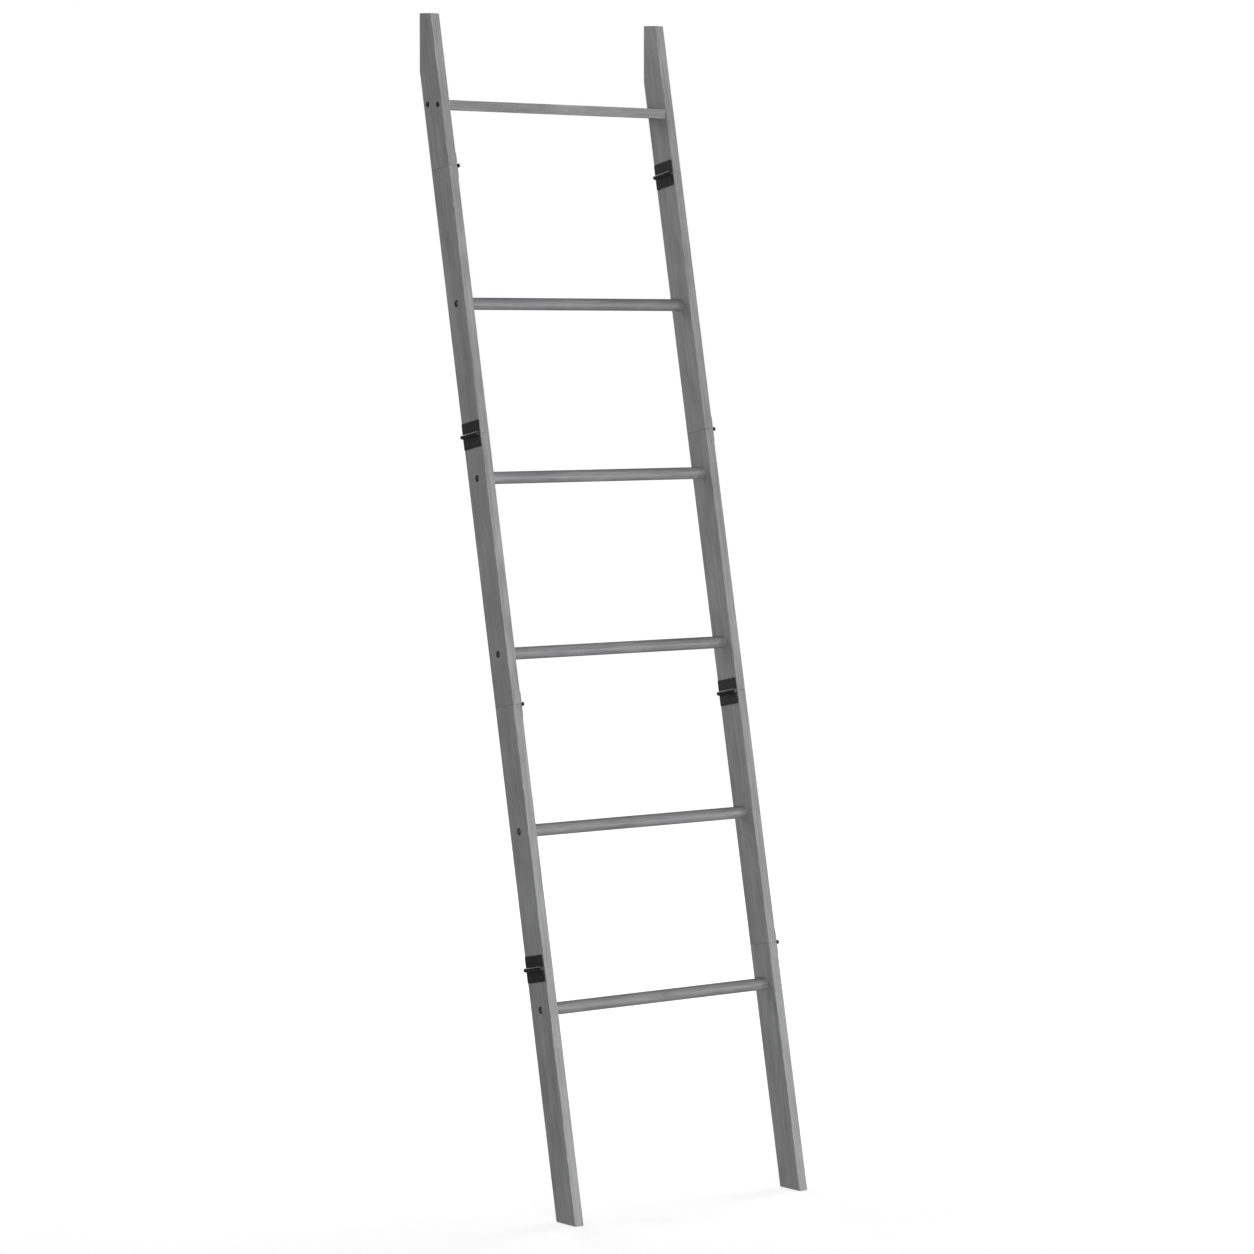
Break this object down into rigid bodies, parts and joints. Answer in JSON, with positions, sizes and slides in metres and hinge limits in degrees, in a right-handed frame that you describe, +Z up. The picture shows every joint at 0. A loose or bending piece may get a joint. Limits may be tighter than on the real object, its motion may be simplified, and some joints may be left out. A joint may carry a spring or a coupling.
{
  "type": "blanket ladder",
  "caption": "Leaning blanket ladder: slim grey wooden rails made of hinged lengths that fold up, joined by round dowel rungs and a flat top bar.",
  "frame": {"origin": "on the floor, under the middle of the overall box", "axes": "+Z up, +X along the rungs to the right seen from the front, +Y back towards the wall"},
  "size_m": [0.4702, 0.3933, 1.83],
  "materials": {
    "grey_wood": "grey-stained softwood, matt, faint straight grain",
    "hinge_black": "black powder-coated steel, satin",
    "black_screws": "black-oxide steel",
    "zinc_screws": "zinc-plated steel, satin, dulled"
  },
  "bodies": {
    "base": {"left_rail_foot": "grey_wood", "right_rail_foot": "grey_wood", "top_bar": "grey_wood", "top_bar_screws": "black_screws", "rail_foot_hinge_screws": "black_screws", "rung_1": "grey_wood", "rung_1_screws": "zinc_screws", "rung_2": "grey_wood", "rung_2_screws": "zinc_screws", "rung_3": "grey_wood", "rung_3_screws": "zinc_screws", "rung_4": "grey_wood", "rung_4_screws": "zinc_screws", "rung_5": "grey_wood", "rung_5_screws": "zinc_screws", "left_foot_hinge_lower_leaf": "hinge_black", "left_foot_hinge_pin": "hinge_black", "right_foot_hinge_lower_leaf": "hinge_black", "right_foot_hinge_pin": "hinge_black"},
    "left_lower": {"left_rail_lower": "grey_wood", "left_rail_lower_hinge_screws": "black_screws", "left_foot_hinge_upper_leaf": "hinge_black", "left_lower_hinge_lower_leaf": "hinge_black", "left_lower_hinge_pin": "hinge_black"},
    "left_middle": {"left_rail_middle": "grey_wood", "left_rail_middle_hinge_screws": "black_screws", "left_lower_hinge_upper_leaf": "hinge_black", "left_upper_hinge_lower_leaf": "hinge_black", "left_upper_hinge_pin": "hinge_black"},
    "left_upper": {"left_rail_upper": "grey_wood", "left_rail_upper_hinge_screws": "black_screws", "left_upper_hinge_upper_leaf": "hinge_black", "left_top_hinge_lower_leaf": "hinge_black", "left_top_hinge_pin": "hinge_black"},
    "left_top": {"left_rail_top": "grey_wood", "left_rail_top_hinge_screws": "black_screws", "left_top_hinge_upper_leaf": "hinge_black"},
    "right_lower": {"right_rail_lower": "grey_wood", "right_rail_lower_hinge_screws": "black_screws", "right_foot_hinge_upper_leaf": "hinge_black", "right_lower_hinge_lower_leaf": "hinge_black", "right_lower_hinge_pin": "hinge_black"},
    "right_middle": {"right_rail_middle": "grey_wood", "right_rail_middle_hinge_screws": "black_screws", "right_lower_hinge_upper_leaf": "hinge_black", "right_upper_hinge_lower_leaf": "hinge_black", "right_upper_hinge_pin": "hinge_black"},
    "right_upper": {"right_rail_upper": "grey_wood", "right_rail_upper_hinge_screws": "black_screws", "right_upper_hinge_upper_leaf": "hinge_black", "right_top_hinge_lower_leaf": "hinge_black", "right_top_hinge_pin": "hinge_black"},
    "right_top": {"right_rail_top": "grey_wood", "right_rail_top_hinge_screws": "black_screws", "right_top_hinge_upper_leaf": "hinge_black"}
  },
  "joints": [
    {"name": "left_foot_hinge", "type": "hinge", "parent": "base", "child": "left_lower", "pos_m": [-0.2319, -0.09757, 0.37792], "axis": [0, 0.9808, -0.1951], "range_deg": [-180, 0]},
    {"name": "left_lower_hinge", "type": "hinge", "parent": "left_lower", "child": "left_middle", "pos_m": [-0.2091, -0.01934, 0.77122], "axis": [0, 0.9808, -0.1951], "range_deg": [0, 180]},
    {"name": "left_upper_hinge", "type": "hinge", "parent": "left_middle", "child": "left_upper", "pos_m": [-0.2319, 0.06231, 1.18168], "axis": [0, 0.9808, -0.1951], "range_deg": [-180, 0]},
    {"name": "left_top_hinge", "type": "hinge", "parent": "left_upper", "child": "left_top", "pos_m": [-0.2091, 0.14357, 1.59017], "axis": [0, 0.9808, -0.1951], "range_deg": [0, 180]},
    {"name": "right_foot_hinge", "type": "hinge", "parent": "base", "child": "right_lower", "pos_m": [0.2319, -0.09757, 0.37792], "axis": [0, 0.9808, -0.1951], "range_deg": [0, 180]},
    {"name": "right_lower_hinge", "type": "hinge", "parent": "right_lower", "child": "right_middle", "pos_m": [0.2091, -0.01934, 0.77122], "axis": [0, 0.9808, -0.1951], "range_deg": [-180, 0]},
    {"name": "right_upper_hinge", "type": "hinge", "parent": "right_middle", "child": "right_upper", "pos_m": [0.2319, 0.06231, 1.18168], "axis": [0, 0.9808, -0.1951], "range_deg": [0, 180]},
    {"name": "right_top_hinge", "type": "hinge", "parent": "right_upper", "child": "right_top", "pos_m": [0.2091, 0.14357, 1.59017], "axis": [0, 0.9808, -0.1951], "range_deg": [-180, 0]}
  ],
  "couplings": [
    {"joint": "left_lower_hinge", "follows": "left_foot_hinge", "ratio": -1},
    {"joint": "left_upper_hinge", "follows": "left_foot_hinge", "ratio": 1},
    {"joint": "left_top_hinge", "follows": "left_foot_hinge", "ratio": -1},
    {"joint": "right_lower_hinge", "follows": "right_foot_hinge", "ratio": -1},
    {"joint": "right_upper_hinge", "follows": "right_foot_hinge", "ratio": 1},
    {"joint": "right_top_hinge", "follows": "right_foot_hinge", "ratio": -1}
  ]
}
